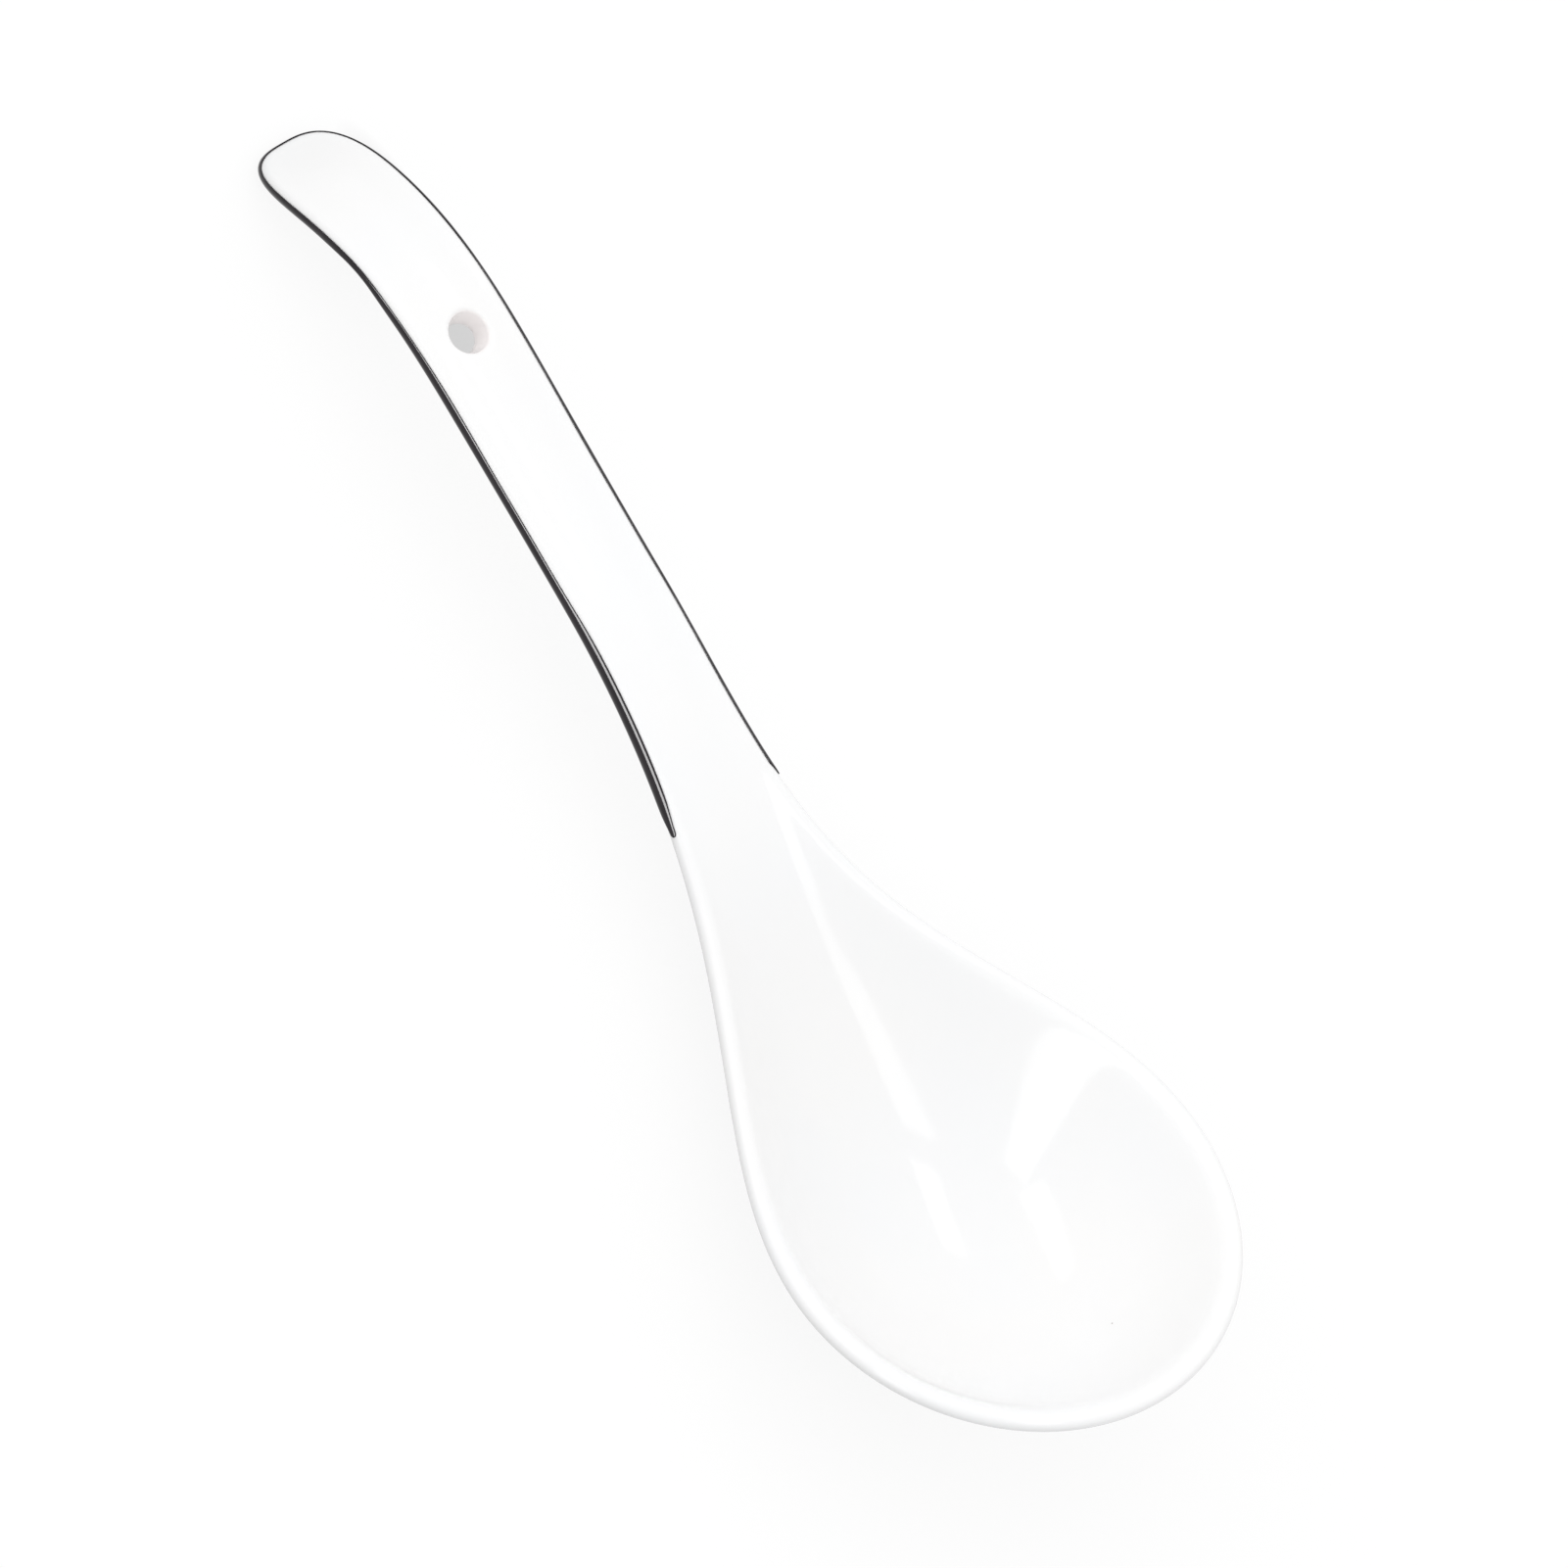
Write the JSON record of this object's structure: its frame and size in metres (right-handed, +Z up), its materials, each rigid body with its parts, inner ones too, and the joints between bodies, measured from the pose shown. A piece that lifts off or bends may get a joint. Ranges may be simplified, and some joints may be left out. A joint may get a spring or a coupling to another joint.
{
  "type": "serving spoon",
  "caption": "White porcelain serving spoon: deep egg-shaped bowl luted to a long handle that droops at the tip, with a hanging hole and a black line round the handle's edge.",
  "frame": {"origin": "on the table, under the middle of the spoon's length and width as it lies at rest", "axes": "+X along the spoon towards the front of the bowl, +Y to the bowl's left seen from the handle, +Z up from the table"},
  "size_m": [0.2104, 0.068, 0.0386],
  "materials": {
    "porcelain": "clear glossy glaze over white porcelain",
    "slip": "fired white slip, under the glaze",
    "black_enamel": "glossy black painted line, fired on"
  },
  "bodies": {
    "root": {"bowl": "porcelain", "luting_seam": "slip", "handle": "porcelain", "edge_line": "black_enamel"}
  },
  "joints": []
}
